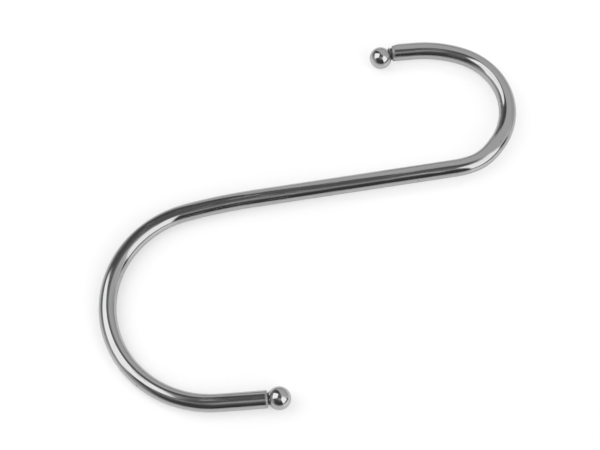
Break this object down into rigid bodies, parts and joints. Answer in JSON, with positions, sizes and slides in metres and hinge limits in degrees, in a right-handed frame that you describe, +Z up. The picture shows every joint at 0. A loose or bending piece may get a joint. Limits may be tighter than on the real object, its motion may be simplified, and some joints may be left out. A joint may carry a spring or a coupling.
{
  "type": "s hook",
  "caption": "Flat S hook bent from polished round steel rod, a large hook and a small hook turned opposite ways, with a small steel ball on each end.",
  "frame": {"origin": "on the floor, under the middle of the plan outline of the hook as it lies flat", "axes": "+X along the straight shank towards the small hook, +Y the way the small hook opens back over the shank, +Z up from the floor"},
  "size_m": [0.1025, 0.0859, 0.0052],
  "materials": {
    "polished_rod": "bright polished steel rod with faint drawing lines",
    "polished_ball": "bright polished steel ball"
  },
  "bodies": {
    "root": {"bent_rod": "polished_rod", "large_hook_ball": "polished_ball", "small_hook_ball": "polished_ball"}
  },
  "joints": []
}
